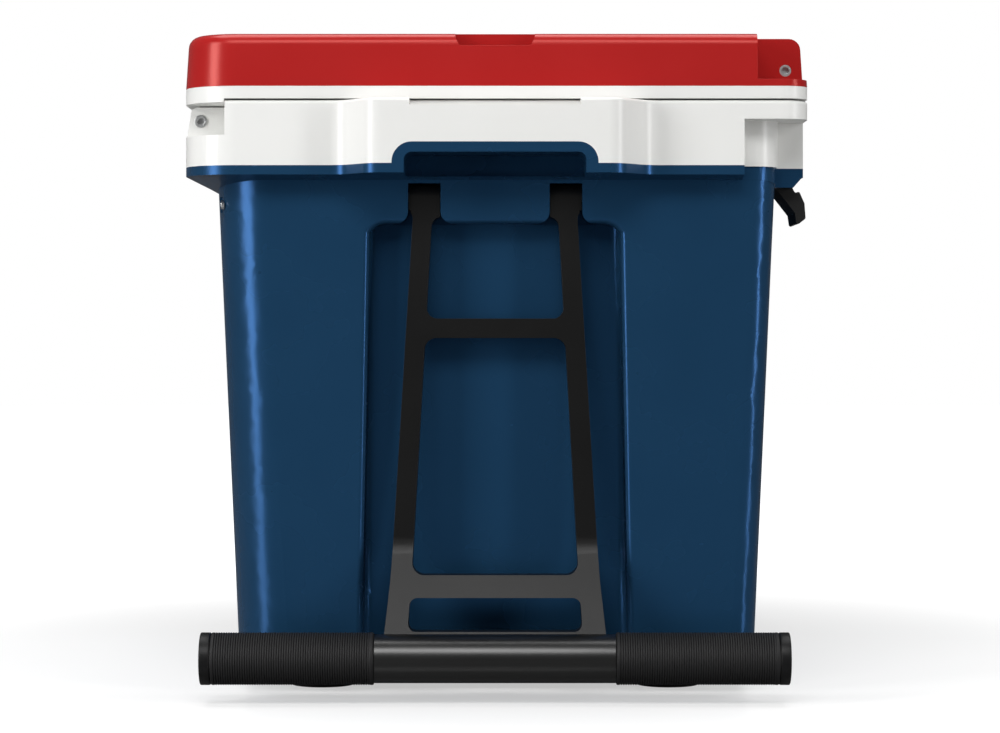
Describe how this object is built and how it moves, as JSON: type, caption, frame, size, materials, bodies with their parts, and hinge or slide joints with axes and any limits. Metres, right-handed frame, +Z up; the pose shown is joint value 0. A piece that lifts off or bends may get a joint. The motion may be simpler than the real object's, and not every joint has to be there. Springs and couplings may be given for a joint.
{
  "type": "wheeled cooler",
  "caption": "Hard-sided insulated cooler on wheels with a hinged lid, rubber T-latches, end hand-holds and a fold-down tow handle.",
  "frame": {"origin": "under the middle of the cooler, on the floor it stands on", "axes": "+X towards the latch side, +Y towards the wheel end (the tow handle is at -Y), +Z up"},
  "size_m": [0.4774, 0.7236, 0.504],
  "materials": {
    "navy_shell": "satin moulded polyethylene",
    "white_moulding": "satin moulded polyethylene",
    "red_lid": "glossy moulded polyethylene",
    "foam": "rigid foam",
    "gasket": "moulded seal",
    "latch_rubber": "moulded rubber",
    "frame_coat": "black powder coat on cast aluminium",
    "grip_rubber": "ribbed rubber",
    "black_plastic": "moulded nylon",
    "tyre_rubber": "solid rubber tread",
    "foot_rubber": "moulded rubber",
    "stainless": "stainless steel"
  },
  "bodies": {
    "cooler": {"axle_bolt_front": "stainless", "axle_bolt_rear": "stainless", "axle_nut_front": "stainless", "axle_nut_rear": "stainless", "axle_plate_front": "stainless", "axle_plate_rear": "stainless", "axle_plate_screws_front": "stainless", "axle_plate_screws_rear": "stainless", "axle_washer_front": "stainless", "axle_washer_rear": "stainless", "corner_screws": "stainless", "drain_sleeve": "black_plastic", "foam_core": "foam", "foot_front": "foot_rubber", "foot_rear": "foot_rubber", "foot_screw_front": "stainless", "foot_screw_rear": "stainless", "hinge_pin_left": "stainless", "hinge_pin_right": "stainless", "inner_liner": "white_moulding", "outer_shell": "navy_shell", "rim_collar": "white_moulding", "tow_pivot_pin_front": "stainless", "tow_pivot_pin_rear": "stainless"},
    "lid": {"lid_top": "red_lid", "lid_liner": "white_moulding", "lid_foam": "foam", "lid_gasket": "gasket", "latch_pin_left": "stainless", "latch_pin_right": "stainless"},
    "latch_left": {"latch_left": "latch_rubber"},
    "latch_right": {"latch_right": "latch_rubber"},
    "tow_handle": {"tow_frame": "frame_coat", "tow_tube": "frame_coat", "tow_grip_front": "grip_rubber", "tow_grip_rear": "grip_rubber", "tow_grip_cap_front": "black_plastic", "tow_grip_cap_rear": "black_plastic", "tow_bush_front": "black_plastic", "tow_bush_rear": "black_plastic"},
    "wheel_front": {"wheel_hub_front": "black_plastic", "tyre_front": "tyre_rubber", "wheel_bushes_front": "black_plastic", "hub_cap_front": "black_plastic"},
    "wheel_rear": {"wheel_hub_rear": "black_plastic", "tyre_rear": "tyre_rubber", "wheel_bushes_rear": "black_plastic", "hub_cap_rear": "black_plastic"},
    "drain_seal": {"drain_seal": "gasket"},
    "drain_plug": {"drain_plug": "black_plastic"}
  },
  "joints": [
    {"name": "lid_hinge", "type": "hinge", "parent": "cooler", "child": "lid", "pos_m": [-0.22745, 0.0028, 0.4398], "axis": [0, -1, 0], "range_deg": [0, 92]},
    {"name": "latch_left_swing", "type": "hinge", "parent": "lid", "child": "latch_left", "pos_m": [0.22165, -0.2347, 0.4795], "axis": [0, -1, 0], "range_deg": [0, 130]},
    {"name": "latch_right_swing", "type": "hinge", "parent": "lid", "child": "latch_right", "pos_m": [0.22165, 0.2403, 0.4795], "axis": [0, -1, 0], "range_deg": [0, 130]},
    {"name": "tow_handle_lift", "type": "hinge", "parent": "cooler", "child": "tow_handle", "pos_m": [-0.00175, -0.2952, 0.3813], "axis": [-1, 0, 0], "range_deg": [0, 92]},
    {"name": "wheel_front_spin", "type": "hinge", "parent": "cooler", "child": "wheel_front", "pos_m": [0.20225, 0.2248, 0.1], "axis": [1, 0, 0], "continuous": true},
    {"name": "wheel_rear_spin", "type": "hinge", "parent": "cooler", "child": "wheel_rear", "pos_m": [-0.20575, 0.2248, 0.1], "axis": [1, 0, 0], "continuous": true},
    {"name": "drain_plug_out", "type": "slide", "parent": "cooler", "child": "drain_seal", "axis": [0, 1, 0], "range_m": [0, 0.0121]},
    {"name": "drain_plug_turn", "type": "hinge", "parent": "drain_seal", "child": "drain_plug", "pos_m": [-0.00175, 0.3028, 0.076], "axis": [0, 1, 0], "range_deg": [0, 1080]}
  ]
}
